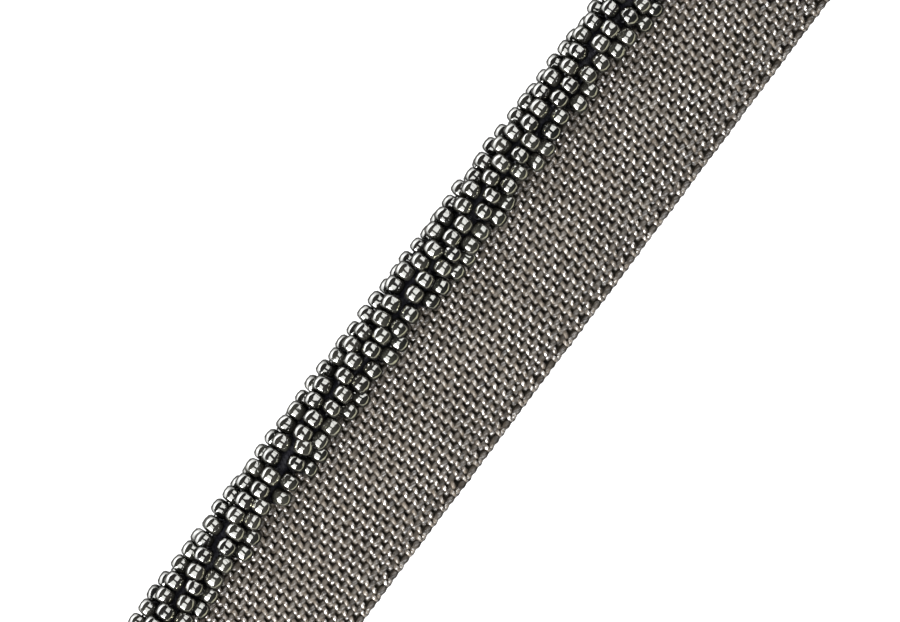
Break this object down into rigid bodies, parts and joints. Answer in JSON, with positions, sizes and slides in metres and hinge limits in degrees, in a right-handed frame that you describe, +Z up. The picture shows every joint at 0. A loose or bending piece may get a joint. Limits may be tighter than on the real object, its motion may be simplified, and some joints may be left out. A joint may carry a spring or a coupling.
{
  "type": "beaded lip cord trim",
  "caption": "Cut length of lip cord: a round cord covered with winding pairs of smoky glass beads, sewn along the edge of a flat woven taupe tape.",
  "frame": {"origin": "centre of the bounding box at its bottom, on the surface the trim lies on", "axes": "+X along the trim, +Y across it from the lip's selvedge towards the beaded cord, +Z up"},
  "size_m": [0.15, 0.0236, 0.0079],
  "materials": {
    "beads": "smoky glass, glossy",
    "tape": "satin yarn, plain weave",
    "core": "matte dark thread"
  },
  "bodies": {
    "root": {"beaded_cord": "beads", "lip_tape": "tape"}
  },
  "joints": []
}
